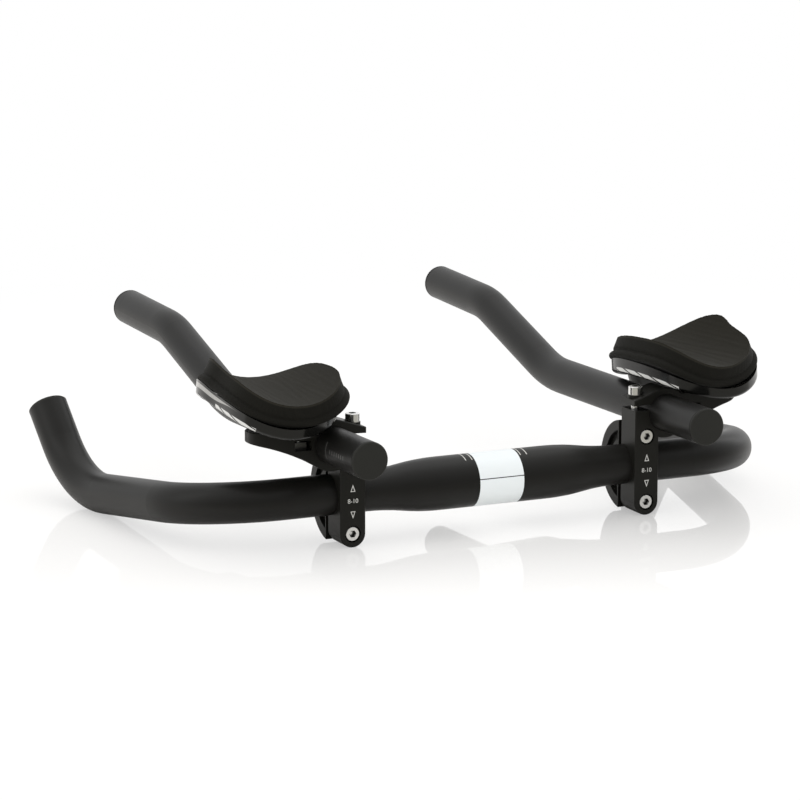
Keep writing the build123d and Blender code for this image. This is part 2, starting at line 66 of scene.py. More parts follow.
class Socket:
    """A shader value that takes part in Python expressions."""

    def __init__(self, graph: "Graph", link: bpy.types.NodeSocket) -> None:
        """Keeps the graph and the output socket."""
        self.graph = graph
        self.link = link

    def __add__(self, other: "Socket | float") -> "Socket":
        """Sum."""
        return self.graph.math("ADD", self, other)

    def __radd__(self, other: float) -> "Socket":
        """Sum with a number on the left."""
        return self.graph.math("ADD", other, self)

    def __sub__(self, other: "Socket | float") -> "Socket":
        """Difference."""
        return self.graph.math("SUBTRACT", self, other)

    def __rsub__(self, other: float) -> "Socket":
        """Difference with a number on the left."""
        return self.graph.math("SUBTRACT", other, self)

    def __mul__(self, other: "Socket | float") -> "Socket":
        """Product."""
        return self.graph.math("MULTIPLY", self, other)

    def __rmul__(self, other: float) -> "Socket":
        """Product with a number on the left."""
        return self.graph.math("MULTIPLY", other, self)

    def __truediv__(self, other: "Socket | float") -> "Socket":
        """Quotient."""
        return self.graph.math("DIVIDE", self, other)

    def __abs__(self) -> "Socket":
        """Size without its sign."""
        return self.graph.math("ABSOLUTE", self)


class Graph:
    """The nodes of one material or world."""

    def __init__(self, tree: bpy.types.NodeTree) -> None:
        """Takes an empty tree."""
        self.tree = tree
        tree.nodes.clear()

    def node(self, kind: str, settings: dict[str, Any] | None = None,
             inputs: dict[Any, Any] | None = None) -> bpy.types.Node:
        """Adds any node.

        Args:
            kind: Blender's name of the node type.
            settings: values of the node itself, set before its sockets.
            inputs: socket name or number, and its value or the socket linked to it.

        Returns:
            The new node.
        """
        made = self.tree.nodes.new(kind)
        for name, value in (settings or {}).items():
            setattr(made, name, value)
        for key, value in (inputs or {}).items():
            if isinstance(value, Socket):
                self.tree.links.new(value.link, made.inputs[key])
            else:
                made.inputs[key].default_value = value
        return made

    def out(self, node: bpy.types.Node, key: Any = 0) -> Socket:
        """An output of a node, by name or number."""
        return Socket(self, node.outputs[key])

    def math(self, operation: str, *values: "Socket | float") -> Socket:
        """A Math node on values or numbers."""
        return self.out(self.node("ShaderNodeMath", {"operation": operation}, dict(enumerate(values))))

    def step(self, value: Socket, low: float, high: float) -> Socket:
        """Rises smoothly from 0 at low to 1 at high."""
        return self.out(self.node("ShaderNodeMapRange", {"interpolation_type": "SMOOTHSTEP"},
                                  {0: value, 1: low, 2: high}))

    def spread(self, value: Socket, low: float, high: float) -> Socket:
        """Maps 0 to 1 onto low to high."""
        return self.out(self.node("ShaderNodeMapRange", {}, {0: value, 3: low, 4: high}))

    def band(self, value: Socket, middle: float, half: float, edge: float) -> Socket:
        """1 within half of middle, 0 further than edge outside it."""
        return 1 - self.step(abs(value - middle), half, half + edge)

    def within(self, value: Socket, ends: Span, edge: float) -> Socket:
        """1 between two ends, 0 further than edge outside them."""
        low, high = ends
        return self.band(value, (low + high) / 2, (high - low) / 2, edge)

    def blend(self, share: "Socket | float", under: "Socket | Colour", over: "Socket | Colour",
              way: str = "MIX") -> Socket:
        """Lays a colour over another.

        Args:
            share: 0 where the lower colour shows alone, 1 where the upper one has its full effect.
            under: the lower colour.
            over: the upper colour.
            way: Blender's name of the blend.

        Returns:
            The blended colour.
        """
        lower, upper = (colour if isinstance(colour, Socket) else (*colour, 1) for colour in (under, over))
        settings = {"data_type": "RGBA", "blend_type": way}
        return self.out(self.node("ShaderNodeMix", settings, {0: share, 6: lower, 7: upper}), 2)

    def choice(self, share: Socket, first: bpy.types.Node, second: bpy.types.Node) -> bpy.types.Node:
        """Mixes two shaders: the first where share is 0, the second where it is 1."""
        return self.node("ShaderNodeMixShader", {}, {0: share, 1: self.out(first), 2: self.out(second)})

    def noise(self, place: Socket, size: float, detail: float = 3.0) -> Socket:
        """Soft random values with spots of about that size in metres."""
        made = self.node("ShaderNodeTexNoise", {}, {"Vector": place, "Scale": 1 / size, "Detail": detail})
        return self.out(made, 0)

    def parts(self, vector: Socket) -> tuple[Socket, Socket, Socket]:
        """X, Y and Z of a vector."""
        made = self.node("ShaderNodeSeparateXYZ", {}, {0: vector})
        return self.out(made, 0), self.out(made, 1), self.out(made, 2)

    def along(self, vector: Socket, direction: Vector) -> Socket:
        """How far a vector goes along a direction."""
        settings = {"operation": "DOT_PRODUCT"}
        return self.out(self.node("ShaderNodeVectorMath", settings, {0: vector, 1: tuple(direction)}), 1)

    def bump(self, height: Socket, depth: float) -> Socket:
        """A normal tilted by a height from 0 to 1, with its full depth in metres."""
        return self.out(self.node("ShaderNodeBump", {}, {"Height": height, "Distance": depth, "Strength": 1.0}))


@dataclass(frozen=True)
class ArmrestFrame:
    """Where an armrest's trough lies: its axis on the right side, toed in and rolled inwards."""

    x: float = 133.4 * MM
    y: float = 9.5 * MM
    z: float = 104.0 * MM
    yaw: float = math.radians(6.5)
    roll: float = math.radians(4.6)
    radius: float = 41.7 * MM
    pad: float = 11.1 * MM

    @property
    def origin(self) -> Vector:
        """A point on the trough's axis."""
        return Vector((self.x, self.y, self.z))

    @property
    def up(self) -> Vector:
        """Out of the trough."""
        return Vector((-math.sin(self.roll), 0, math.cos(self.roll)))

    @property
    def across(self) -> Vector:
        """Outboard across the trough."""
        level = Vector((math.cos(self.roll), 0, math.sin(self.roll)))
        return level * math.cos(self.yaw) + Vector((0, 1, 0)) * math.sin(self.yaw)

    @property
    def ahead(self) -> Vector:
        """Forward along the trough."""
        return self.up.cross(self.across)

    def reach(self, point: Vector) -> float:
        """Distance of a point on the right side from the trough's axis."""
        away = point - self.origin
        return math.hypot(away.dot(self.across), away.dot(self.up))

    def outward(self, point: Vector) -> Vector:
        """Direction away from the trough's axis at a point on the right side."""
        away = point - self.origin
        return (away - self.ahead * away.dot(self.ahead)).normalized()

    def sockets(self, graph: Graph, place: Socket) -> tuple[Socket, Socket, Socket]:
        """The armrest's own directions in a material, the same on both sides.

        Args:
            graph: the material's nodes.
            place: Object coordinates.

        Returns:
            Values across, ahead and up from the trough's axis.
        """
        folded = graph.node("ShaderNodeVectorMath", {"operation": "ABSOLUTE"}, {0: place})
        x, _, _ = graph.parts(graph.out(folded))
        _, y, z = graph.parts(place)
        one_side = graph.node("ShaderNodeCombineXYZ", {}, {0: x - self.x, 1: y - self.y, 2: z - self.z})
        away = graph.out(one_side)
        return graph.along(away, self.across), graph.along(away, self.ahead), graph.along(away, self.up)


ARMREST = ArmrestFrame()


@dataclass(frozen=True)
class Finish:
    """A surface finish: what all of them have, and the nodes that make the material."""

    name: str
    colour: Colour
    roughness: float = 0.5
    specular: float = 0.5
    metallic: float = 0.0
    mottle: float = 30 * MM
    mottle_share: float = 0.15
    grain: float = 0.35 * MM
    grain_depth: float = 0.02 * MM
    rough_spread: float = 0.05

    def constants(self) -> dict[str, Any]:
        """Socket values that are the same all over the surface."""
        return {"Specular IOR Level": self.specular, "Metallic": self.metallic}

    def ink(self, graph: Graph, place: Socket, colour: Socket) -> Socket:
        """Prints marks over the colour and, in the plated and cup finishes, paints shade and a reflection; a
        plain finish has none.
        """
        return colour

    def mottled(self, graph: Graph, cloud: Socket) -> Socket:
        """The colour with soft darker and paler spots."""
        dark, pale = (tuple(c * (1 + way * self.mottle_share) for c in self.colour) for way in (-1, 1))
        return graph.blend(cloud, dark, pale)

    def roughened(self, graph: Graph, value: Socket) -> Socket:
        """A roughness that wanders about its mean."""
        return graph.spread(value, self.roughness - self.rough_spread, self.roughness + self.rough_spread)

    def surface(self, graph: Graph, place: Socket) -> dict[str, Socket]:
        """What changes over the surface.

        Args:
            graph: the material's nodes.
            place: Object coordinates.

        Returns:
            Sockets for the shader's inputs, by name.
        """
        cloud = graph.noise(place, self.mottle)
        speck = graph.noise(place, self.grain, detail=2)
        return {
            "Base Color": self.ink(graph, place, self.mottled(graph, cloud)),
            "Roughness": self.roughened(graph, cloud),
            "Normal": graph.bump(speck, self.grain_depth),
        }

    def material(self) -> bpy.types.Material:
        """The finished material, made once."""
        found = bpy.data.materials.get(self.name)
        if found:
            return found
        made = bpy.data.materials.new(self.name)
        made.use_nodes = True
        graph = Graph(made.node_tree)
        place = graph.out(graph.node("ShaderNodeTexCoord"), "Object")
        inputs = {**self.constants(), **self.surface(graph, place)}
        shader = graph.node("ShaderNodeBsdfPrincipled", {}, inputs)
        graph.node("ShaderNodeOutputMaterial", {}, {"Surface": graph.out(shader)})
        return made


@dataclass(frozen=True)
class BarCoat(Finish):
    """Matt black coat of the base bar, with centring lines beside the white film."""

    line_x: Span = (15.95 * MM, 20.05 * MM)
    line_half: float = 0.24 * MM
    line_edge: float = 0.12 * MM
    line_low: float = 13.85 * MM
    ink_colour: Colour = (0.62, 0.61, 0.57)

    def ink(self, graph: Graph, place: Socket, colour: Socket) -> Socket:
        """Two short lines over the top of the bar on each side of the film."""
        x, _, z = graph.parts(place)
        out = abs(x)
        near, far = self.line_x
        lines = graph.band(out, near, self.line_half, self.line_edge)
        lines = lines + graph.band(out, far, self.line_half, self.line_edge)
        top = graph.step(z, self.line_low, self.line_low + self.line_edge)
        return graph.blend(lines * top, colour, self.ink_colour)


@dataclass(frozen=True)
class TubeCoat(Finish):
    """Matt black coat of an extension, with a set-back line and a plain scale outboard behind the clamp."""

    axis_x: float = 108.95 * MM
    axis_z: float = 33.2 * MM
    ring_y: float = -30.3 * MM
    ring_rise: float = 5.3 * MM
    ring_sink: float = 4.4 * MM
    scale_y: Span = (-56.0 * MM, -35.0 * MM)
    scale_z: Span = (-0.5 * MM, 1.8 * MM)
    scale_pitch: float = 3.0 * MM
    line_half: float = 0.22 * MM
    line_edge: float = 0.14 * MM
    ink_colour: Colour = (0.13, 0.13, 0.125)

    def ink(self, graph: Graph, place: Socket, colour: Socket) -> Socket:
        """A thin arc and a row of short strokes on the outer side."""
        x, y, z = graph.parts(place)
        outer = graph.step(abs(x), self.axis_x, self.axis_x + self.line_edge)
        rise = z - self.axis_z
        arc = graph.band(y, self.ring_y, self.line_half, self.line_edge)
        arc = arc * graph.within(rise, (-self.ring_sink, self.ring_rise), self.line_edge)
        to_stroke = graph.math("PINGPONG", y, self.scale_pitch / 2)
        strokes = graph.band(to_stroke, 0, self.line_half, self.line_edge)
        strokes = strokes * graph.within(y, self.scale_y, self.line_edge)
        strokes = strokes * graph.within(rise, self.scale_z, self.line_edge)
        return graph.blend((arc + strokes) * outer, colour, self.ink_colour)


@dataclass(frozen=True)
class CupGloss(Finish):
    """Glossy moulded plastic of the armrest cups, with plain slanted bars on the flanks and a painted
    reflection on the outer flank: a pale patch that tapers to the back.
    """

    bar_low: float = 61.2 * MM
    bar_high: float = 59.7 * MM
    bar_pitch: float = 13.0 * MM
    bar_gap: float = 2.6 * MM
    bar_slant: float = 4.0
    inner_y: Span = (-32.0 * MM, 22.0 * MM)
    outer_y: Span = (-45.0 * MM, -8.0 * MM)
    # Span, taper and reaches of the painted reflection on the outer flank.
    reflection_y: Span = (-46.0 * MM, 20.0 * MM)
    reflection_taper: float = 40.0 * MM
    reflection_high: float = 56.2 * MM
    reflection_low: float = 58.2 * MM
    flank: float = 20.0 * MM
    edge: float = 0.2 * MM
    ink_colour: Colour = (0.66, 0.66, 0.64)
    # Pale colour of the painted reflection on the outer flank.
    flank_reflection_colour: Colour = (0.36, 0.355, 0.34)

    def ink(self, graph: Graph, place: Socket, colour: Socket) -> Socket:
        """Slanted bars in a strip along each flank and a painted reflection, a pale patch that tapers to the
        back, on the outer one.
        """
        across, ahead, up = ARMREST.sockets(graph, place)
        reach = graph.math("SQRT", across * across + up * up)
        outer = graph.step(across, self.flank, self.flank + self.edge)
        inner = graph.step(0 - across, self.flank, self.flank + self.edge)
        strip = graph.within(reach, (self.bar_high, self.bar_low), self.edge)
        strip = strip * (inner * graph.within(ahead, self.inner_y, self.edge)
                         + outer * graph.within(ahead, self.outer_y, self.edge))
        slid = ahead + (reach - self.bar_high) * self.bar_slant
        to_gap = graph.math("PINGPONG", slid, self.bar_pitch / 2)
        bars = graph.step(to_gap, self.bar_gap / 2, self.bar_gap / 2 + self.edge)
        # The pale patch on the outer flank is a painted reflection of the bright room on the glossy plastic.
        back, _ = self.reflection_y
        taper = graph.step(slid, back, back + self.reflection_taper) * (self.reflection_low - self.reflection_high)
        panel = outer * graph.within(slid, self.reflection_y, self.edge)
        panel = panel * graph.step(reach, self.reflection_high, self.reflection_high + self.edge)
        panel = panel * (1 - graph.step(reach - taper, self.reflection_high, self.reflection_high + self.edge))
        return graph.blend(strip * bars, graph.blend(panel, colour, self.flank_reflection_colour), self.ink_colour)


@dataclass(frozen=True)
class KnitCover(Finish):
    """Knitted cover of the pads: a paler panel in the trough, darker walls with painted shade in them, a
    painted highlight along the panel's edge, fine loops with painted shade in their hollows and a soft sheen.
    """

    # Darker wall colour: partly the cover's own colour, partly painted shade on the sides.
    wall_colour_and_shade: Colour = (0.0098, 0.0094, 0.0074)
    # Paler colour of the painted highlight along the panel's edge.
    crest_highlight_colour: Colour = (0.032, 0.030, 0.024)
    wall_run: Span = (0.9 * MM, 1.53 * MM)
    crest: float = 1.08 * MM
    crest_half: float = 0.18 * MM
    crest_edge: float = 0.45 * MM
    crest_highlight_share: float = 0.5
    loop: float = 0.9 * MM
    loop_lean: float = 0.8
    loop_depth: float = 0.07 * MM
    loop_share: float = 0.7
    # Colour multiplied into the hollows between loops: painted shade.
    hollow_shade_colour: Colour = (0.55, 0.55, 0.55)
    loop_shade_share: float = 0.25
    fuzz: float = 0.25 * MM
    sheen: float = 0.04
    sheen_roughness: float = 0.5

    def constants(self) -> dict[str, Any]:
        """Adds the sheen of short fibres."""
        return {**super().constants(), "Sheen Weight": self.sheen, "Sheen Roughness": self.sheen_roughness}

    def surface(self, graph: Graph, place: Socket) -> dict[str, Socket]:
        """Panels with painted shade on the walls and a painted highlight along their edge, knitted loops with
        painted shade in their hollows, and fibre specks.

        Args:
            graph: the material's nodes.
            place: Object coordinates.

        Returns:
            Sockets for the shader's inputs, by name.
        """
        across, ahead, up = ARMREST.sockets(graph, place)
        reach = graph.math("SQRT", across * across + up * up)
        depth = reach - ARMREST.radius
        turn = graph.math("ARCTAN2", across, up) * ARMREST.radius
        per_loop = 2 * math.pi / self.loop
        wale = graph.math("SINE", turn * per_loop)
        course = graph.math("SINE", ahead * per_loop + wale * self.loop_lean)
        loops = course * 0.5 + 0.5
        panel = self.mottled(graph, graph.noise(place, self.mottle))
        # The walls are darker partly in the cover's own colour and partly as painted shade for the less light
        # the sides get.
        shade = graph.blend(graph.step(depth, *self.wall_run), panel, self.wall_colour_and_shade)
        # A paler line at the crest depth along the panel's rolled edge: a painted highlight.
        crest = graph.band(depth, self.crest, self.crest_half, self.crest_edge)
        shade = graph.blend(crest * self.crest_highlight_share, shade, self.crest_highlight_colour)
        # Darker where the loops' bump is low: painted shade in the hollows between loops.
        loop_hollow_shade = graph.blend(loops, self.hollow_shade_colour, (1, 1, 1))
        fibre = graph.noise(place, self.fuzz, detail=2)
        return {
            "Base Color": graph.blend(self.loop_shade_share, shade, loop_hollow_shade, "MULTIPLY"),
            "Roughness": self.roughened(graph, fibre),
            "Normal": graph.bump(loops * self.loop_share + fibre * (1 - self.loop_share), self.loop_depth),
        }


@dataclass(frozen=True)
class Plated(Finish):
    """Bright plating, with painted shade in its sockets and other hollows."""

    near: float = 2.2 * MM
    open_share: Span = (0.45, 0.95)
    # Colour of the painted shade in the sockets and hollows.
    hollow_shade_colour: Colour = (0.035, 0.034, 0.032)

    def ink(self, graph: Graph, place: Socket, colour: Socket) -> Socket:
        """Paints shade where ambient occlusion finds walls close by: in the sockets and other hollows."""
        # Painted shade: darker where little open space is found around the point.
        open_sky = graph.out(graph.node("ShaderNodeAmbientOcclusion", {"only_local": True},
                                        {"Distance": self.near}), "AO")
        return graph.blend(1 - graph.step(open_sky, *self.open_share), colour, self.hollow_shade_colour)


class Coat(Enum):
    """The finishes of the handlebar."""

    BAR = BarCoat("bar_satin", (0.0092, 0.0088, 0.0076), 0.38, 0.22)
    TUBE = TubeCoat("tube_satin", (0.0095, 0.0092, 0.0083), 0.42, 0.26)
    PLUG = Finish("plug_matt", (0.0165, 0.0166, 0.0138), 0.6, 0.3, grain=0.6 * MM, grain_depth=0.04 * MM)
    CLAMP = Finish("clamp_satin", (0.0108, 0.0106, 0.0088), 0.36, 0.16, grain=0.25 * MM)
    BOLT = Plated("bolt_plated", (0.78, 0.775, 0.76), 0.14, 0.5, 1.0, grain=0.5 * MM, grain_depth=0.008 * MM)
    NUT = Finish("nut_oiled", (0.16, 0.158, 0.15), 0.34, 0.5, 1.0, grain=0.4 * MM)
    CUP = CupGloss("cup_gloss", (0.004, 0.004, 0.0035), 0.16, 0.5, grain=1.2 * MM, grain_depth=0.01 * MM)
    HOOK = Finish("hook_loops", (0.008, 0.008, 0.0072), 0.85, 0.2, grain=0.5 * MM, grain_depth=0.3 * MM)
    FILM = Finish("film_gloss", (0.85, 0.895, 0.905), 0.38, 0.5, mottle_share=0.02, grain=2 * MM,
                  grain_depth=0.004 * MM)
    PAD = KnitCover("pad_knit", (0.0172, 0.0157, 0.0112), 0.85, 0.08, mottle=18 * MM, mottle_share=0.14,
                    rough_spread=0.08)
    INK = Finish("print_white", (0.62, 0.62, 0.59), 0.5, 0.4, mottle_share=0.04, grain=0.2 * MM)


NODE_COATS = {
    "base_bar": Coat.BAR,
    "centre_wrap": Coat.FILM,
    "extension": Coat.TUBE,
    "plug_rear": Coat.PLUG,
    "plug_front": Coat.PLUG,
    "plug_horn": Coat.PLUG,
    "clamp_body": Coat.CLAMP,
    "clamp_cap": Coat.CLAMP,
    "clamp_bolt_upper": Coat.BOLT,
    "clamp_bolt_lower": Coat.BOLT,
    "pinch_bolt": Coat.BOLT,
    "armrest_cup": Coat.CUP,
    "cup_screw_inner": Coat.BOLT,
    "cup_screw_outer": Coat.BOLT,
    "cup_nut": Coat.NUT,
    "hook_patch": Coat.HOOK,
    "armrest_pad": Coat.PAD,
}


class Bench:
    """Hand work with operators: picking, copying, editing and finishing pieces."""

    MERGE = 0.01 * MM
    SMOOTH = math.radians(40)

    @staticmethod
    def pick(piece: bpy.types.Object) -> None:
        """Selects one piece alone and makes it active."""
        bpy.ops.object.select_all(action="DESELECT")
        piece.select_set(True)
        bpy.context.view_layer.objects.active = piece

    @staticmethod
    def blank_copy(node: str, name: str) -> bpy.types.Object:
        """A piece of its own with a merged copy of a node's mesh.

        Args:
            node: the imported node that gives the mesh.
            name: the new piece's name.

        Returns:
            The new piece, at the origin.
        """
        piece = bpy.data.objects.new(name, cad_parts[node].data.copy())
        bpy.context.scene.collection.objects.link(piece)
        Bench.pick(piece)
        bpy.ops.mesh.customdata_custom_splitnormals_clear()
        bpy.ops.object.mode_set(mode="EDIT")
        bpy.ops.mesh.select_all(action="SELECT")
        bpy.ops.mesh.remove_doubles(threshold=Bench.MERGE)
        bpy.ops.object.mode_set(mode="OBJECT")
        return piece

    @staticmethod
    def mirrored(piece: bpy.types.Object, name: str) -> bpy.types.Object:
        """The same piece on the other side, with its own mesh and outward faces.

        Args:
            piece: the piece on one side.
            name: the new piece's name.

        Returns:
            The mirror image about the YZ plane.
        """
        twin = bpy.data.objects.new(name, piece.data.copy())
        bpy.context.scene.collection.objects.link(twin)
        Bench.pick(twin)
        bpy.ops.object.mode_set(mode="EDIT")
        bpy.ops.mesh.select_all(action="SELECT")
        bpy.ops.transform.resize(value=(-1, 1, 1), center_override=(0, 0, 0))
        bpy.ops.mesh.normals_make_consistent(inside=False)
        bpy.ops.object.mode_set(mode="OBJECT")
        return twin

    @staticmethod
    def apply(piece: bpy.types.Object, kind: str, **settings: Any) -> None:
        """Adds a modifier with its settings and applies it."""
        Bench.pick(piece)
        added = piece.modifiers.new(kind.title(), kind)
        for name, value in settings.items():
            setattr(added, name, value)
        bpy.ops.object.modifier_apply(modifier=added.name)

    @staticmethod
    def fatten(piece: bpy.types.Object, size: float) -> None:
        """Moves a piece's surface outwards, or inwards if the size is negative."""
        Bench.pick(piece)
        bpy.ops.object.mode_set(mode="EDIT")
        bpy.ops.mesh.select_all(action="SELECT")
        bpy.ops.transform.shrink_fatten(value=size)
        bpy.ops.object.mode_set(mode="OBJECT")

    @staticmethod
    def finish(piece: bpy.types.Object, coat: Coat, slot: str, smooth: float = SMOOTH) -> None:
        """Dresses a finished piece and lets it ride on the handlebar.

        Args:
            piece: a mesh at the origin.
            coat: its finish.
            slot: not used.
            smooth: the angle up to which edges are shaded smooth.
        """
        Bench.pick(piece)
        bpy.ops.object.shade_smooth_by_angle(angle=smooth)
        piece.data.materials.clear()
        piece.data.materials.append(coat.value.material())
        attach(piece, BODY)
        LOG.info("%s: %d faces", piece.name, len(piece.data.polygons))


@dataclass
class Bar:
    """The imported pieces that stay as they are: tubes, clamps, cups, bolts, plugs and film."""

    coats: dict[str, Coat] = field(default_factory=lambda: NODE_COATS)

    def dress(self) -> None:
        """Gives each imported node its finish."""
        for name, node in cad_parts.items():
            stem = name.removesuffix("_right").removesuffix("_left")
            node.data.materials.clear()
            node.data.materials.append(self.coats[stem].value.material())
            LOG.info("%s wears %s", name, self.coats[stem].value.name)


@dataclass
class ArmrestPad:
    """A foam pad in its knitted cover: swollen between its seams, with a sewn line, a lip and a hem."""

    packed: str = "armrest_pad_right"
    voxel: float = 0.8 * MM
    smoothing: int = 3
    smooth_factor: float = 0.5
    smooth_angle: float = math.radians(60)
    offset: float = 1.2 * MM
    slack: float = 0.3 * MM
    pressure: float = 4.0
    cloth_quality: int = 6
    cloth_mass: float = 0.3
    frames: int = 20
    cap: float = 0.8 * MM
    held: float = 1.6 * MM
    sharp: float = math.radians(28)
    rim_room: float = 0.5 * MM
    rest: float = 1.5 * MM
    seam_depth: float = 7.5 * MM
    seam_half: float = 0.75 * MM
    seam_sink: float = 1.0 * MM
    lip_depth: float = 9.8 * MM
    lip_half: float = 1.4 * MM
    lip_rise: float = 2.0 * MM
    hem: float = 6.0 * MM
    hem_drop: float = 1.3 * MM
    fill: float = 0.85

    @staticmethod
    def nearest(points: list[Vector]) -> KDTree:
        """A tree that finds the nearest of some points."""
        tree = KDTree(len(points))
        for number, point in enumerate(points):
            tree.insert(point, number)
        tree.balance()
        return tree

    def foot_points(self) -> list[Vector]:
        """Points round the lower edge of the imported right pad, where its wall turns under."""
        depth = ARMREST.radius + self.lip_depth
        return [v.co.copy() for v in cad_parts[self.packed].data.vertices
                if abs(ARMREST.reach(v.co) - depth) < self.rim_room]

    def rim_points(self) -> list[Vector]:
        """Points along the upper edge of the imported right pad, where its panels meet."""
        probe = Bench.blank_copy(self.packed, "pad_probe")
        bpy.ops.object.mode_set(mode="EDIT")
        bpy.ops.mesh.select_mode(type="EDGE")
        bpy.ops.mesh.select_all(action="DESELECT")
        bpy.ops.mesh.edges_select_sharp(sharpness=self.sharp)
        bpy.ops.object.mode_set(mode="OBJECT")
        edge = [v.co.copy() for v in probe.data.vertices
                if v.select and abs(ARMREST.reach(v.co) - ARMREST.radius) < self.rim_room]
        bpy.ops.object.delete()
        return edge

    def pinned(self, places: list[Vector]) -> list[int]:
        """Which points of the cover are sewn down or rest on the cup.

        Args:
            places: the points of the remeshed cover.

        Returns:
            Their numbers.
        """
        rim = self.nearest(self.rim_points())
        still = []
        for number, place in enumerate(places):
            depth = ARMREST.reach(place) - ARMREST.radius
            sewn = abs(depth - self.seam_depth) < self.seam_half
            resting = depth > ARMREST.pad - self.rest
            _, _, to_rim = rim.find(place)
            if sewn or resting or to_rim < self.held:
                still.append(number)
        return still

    def swell(self, pad: bpy.types.Object) -> None:
        """Blows the cover up a little between its seams."""
        start = [v.co.copy() for v in pad.data.vertices]
        still = self.pinned(start)
        pins = pad.vertex_groups.new(name="sewn")
        pins.add(still, 1.0, "REPLACE")
        cloth = pad.modifiers.new("Swell", "CLOTH")
        cloth.settings.quality = self.cloth_quality
        cloth.settings.mass = self.cloth_mass
        cloth.settings.use_pressure = True
        cloth.settings.uniform_pressure_force = self.pressure
        cloth.settings.effector_weights.gravity = 0
        cloth.settings.vertex_group_mass = pins.name
        cloth.point_cache.frame_start = 1
        cloth.point_cache.frame_end = self.frames
        for number in range(1, self.frames + 1):
            bpy.context.scene.frame_set(number)
        Bench.pick(pad)
        bpy.ops.object.modifier_apply(modifier=cloth.name)
        bpy.context.scene.frame_set(1)
        pad.vertex_groups.clear()
        moves = [v.co - origin for v, origin in zip(pad.data.vertices, start)]
        kept = [origin + move * min(1.0, self.cap / move.length) if move.length else origin
                for origin, move in zip(start, moves)]
        pad.data.vertices.foreach_set("co", [value for place in kept for value in place])
        pad.data.update()
        most = max(move.length for move in moves)
        LOG.info("cover moved by up to %.2f mm, kept to %.2f mm", most / MM, self.cap / MM)

    def sew(self, pad: bpy.types.Object) -> None:
        """Sinks the sewn line into the wall, turns out the lip below it and hangs the hem down to the cup."""
        foot = self.nearest(self.foot_points())
        away = [v.normal.copy() for v in pad.data.vertices]
        sewn = []
        for vertex, out in zip(pad.data.vertices, away):
            depth = ARMREST.reach(vertex.co) - ARMREST.radius
            sink = self.seam_sink * math.exp(-(((depth - self.seam_depth) / self.seam_half) ** 2))
            rise = self.lip_rise * math.exp(-(((depth - self.lip_depth) / self.lip_half) ** 2))
            _, _, to_foot = foot.find(vertex.co)
            hang = self.hem_drop * max(0.0, 1 - (to_foot / self.hem) ** 2) ** 2
            sewn.extend(vertex.co + out * (rise - sink) + ARMREST.outward(vertex.co) * hang)
        pad.data.vertices.foreach_set("co", sewn)
        pad.data.update()

    def build(self) -> None:
        """Makes the right pad and its mirror image."""
        pad = Bench.blank_copy(self.packed, "pad_cover_right")
        pad.data.remesh_voxel_size = self.voxel
        pad.data.use_remesh_preserve_attributes = False
        bpy.ops.object.voxel_remesh()
        Bench.apply(pad, "SMOOTH", factor=self.smooth_factor, iterations=self.smoothing)
        Bench.fatten(pad, self.offset)
        Bench.apply(pad, "SHRINKWRAP", target=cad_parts[self.packed])
        Bench.apply(pad, "SMOOTH", factor=self.smooth_factor, iterations=self.smoothing)
        Bench.fatten(pad, -self.slack)
        self.swell(pad)
        self.sew(pad)
        for side, piece in ((Side.RIGHT, pad), (Side.LEFT, Bench.mirrored(pad, "pad_cover_left"))):
            Bench.finish(piece, Coat.PAD, "pad_fabric", self.smooth_angle)
            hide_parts(f"armrest_pad_{side.word}")


